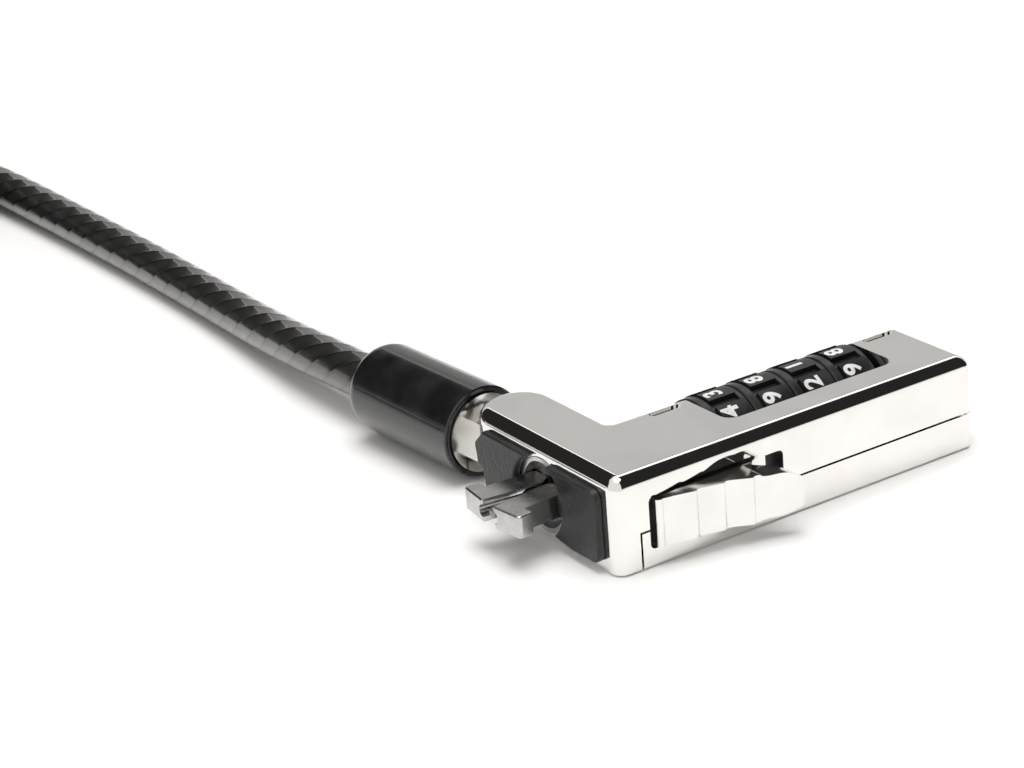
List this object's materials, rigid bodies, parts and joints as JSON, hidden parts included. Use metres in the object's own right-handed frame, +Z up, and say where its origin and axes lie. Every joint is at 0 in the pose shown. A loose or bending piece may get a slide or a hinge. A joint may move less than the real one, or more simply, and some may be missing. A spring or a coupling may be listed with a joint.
{
  "type": "laptop cable lock",
  "caption": "L-shaped combination head with a two-jaw locking tip, thumb slide, row of number dials and a coiled steel cable on a swivelling boot, ending in a loop",
  "frame": {"origin": "On the base plane, where the locking tip's axis crosses the middle line of the head's short arm", "axes": "+X runs along the long arm away from the tip, +Y along the short arm towards the cable, +Z up"},
  "size_m": [0.1087, 0.186, 0.0201],
  "materials": {
    "shell_chrome": "mirror chrome plate",
    "slider_chrome": "satin chrome plate",
    "fastener_steel": "turned steel",
    "tip_steel": "sintered steel, tumbled",
    "pin_steel": "hardened steel, dark",
    "pad_foam": "moulded closed-cell foam",
    "inner_steel": "zinc-plated steel",
    "carriage_steel": "dark phosphated steel",
    "spring_steel": "bright spring steel",
    "dial_black": "satin black moulding with white numerals",
    "code_brass": "turned brass",
    "yoke_chrome": "bright chrome plate",
    "boot_black": "glossy black moulding",
    "sheath": "smoke-tinted clear sheath over stranded steel",
    "crimp_metal": "swaged aluminium",
    "tie_rubber": "soft strap"
  },
  "bodies": {
    "head": {"upper_housing": "shell_chrome", "bottom_cover": "shell_chrome", "cover_rivets": "fastener_steel", "front_pad_right": "pad_foam", "front_pad_left": "pad_foam", "tip_bush": "tip_steel", "jaw_pins": "fastener_steel", "dial_spindle": "inner_steel", "end_washer": "inner_steel", "detent_spring": "spring_steel", "swivel_pin": "fastener_steel", "return_spring": "spring_steel"},
    "slide": {"thumb_slider": "slider_chrome", "slide_carriage": "carriage_steel", "slider_rivets": "fastener_steel", "spreader_pin": "pin_steel", "locking_bar": "pin_steel"},
    "left_jaw": {"jaw_left": "tip_steel"},
    "right_jaw": {"jaw_right": "tip_steel"},
    "dial_1_set": {"dial_1": "dial_black", "code_ring_1": "code_brass"},
    "dial_2_set": {"dial_2": "dial_black", "code_ring_2": "code_brass"},
    "dial_3_set": {"dial_3": "dial_black", "code_ring_3": "code_brass"},
    "dial_4_set": {"dial_4": "dial_black", "code_ring_4": "code_brass"},
    "yoke": {"swivel_yoke": "yoke_chrome", "stem_clip": "inner_steel", "cable_ferrule": "crimp_metal", "cable": "sheath", "cable_coil": "sheath", "coil_ties": "tie_rubber", "cable_tail": "sheath", "loop_ferrule": "crimp_metal", "end_loop": "sheath"},
    "boot_set": {"boot": "boot_black", "boot_bushing": "boot_black"}
  },
  "joints": [
    {"name": "thumb_slide", "type": "slide", "parent": "head", "child": "slide", "axis": [1, 0, 0], "range_m": [0, 0.0015], "stiffness_N_per_m": 300, "springref_m": -0.003, "deforming": ["return_spring"]},
    {"name": "jaw_left_hinge", "type": "hinge", "parent": "head", "child": "left_jaw", "pos_m": [-0.002, 0.002, 0.00427], "axis": [0, 0, 1], "range_deg": [0, 6.7]},
    {"name": "jaw_right_hinge", "type": "hinge", "parent": "head", "child": "right_jaw", "pos_m": [-0.002, -0.002, 0.00427], "axis": [0, 0, 1], "range_deg": [-6.7, 0]},
    {"name": "dial_1_spin", "type": "hinge", "parent": "head", "child": "dial_1_set", "pos_m": [0.0137, -0.0017, 0.00468], "axis": [1, 0, 0], "continuous": true},
    {"name": "dial_2_spin", "type": "hinge", "parent": "head", "child": "dial_2_set", "pos_m": [0.01832, -0.0017, 0.00468], "axis": [1, 0, 0], "continuous": true},
    {"name": "dial_3_spin", "type": "hinge", "parent": "head", "child": "dial_3_set", "pos_m": [0.02294, -0.0017, 0.00468], "axis": [1, 0, 0], "continuous": true},
    {"name": "dial_4_spin", "type": "hinge", "parent": "head", "child": "dial_4_set", "pos_m": [0.02756, -0.0017, 0.00468], "axis": [1, 0, 0], "continuous": true},
    {"name": "cable_swivel", "type": "hinge", "parent": "head", "child": "yoke", "pos_m": [0, 0.00875, 0.0045], "axis": [0, 0, 1], "range_deg": [-93, 20]},
    {"name": "boot_spin", "type": "hinge", "parent": "yoke", "child": "boot_set", "pos_m": [0, 0.00875, 0.0045], "axis": [-0.0628, 0.998, 0], "continuous": true}
  ],
  "couplings": [
    {"joint": "jaw_left_hinge", "follows": "thumb_slide", "rad_per_m": 77},
    {"joint": "jaw_right_hinge", "follows": "thumb_slide", "rad_per_m": -77}
  ]
}
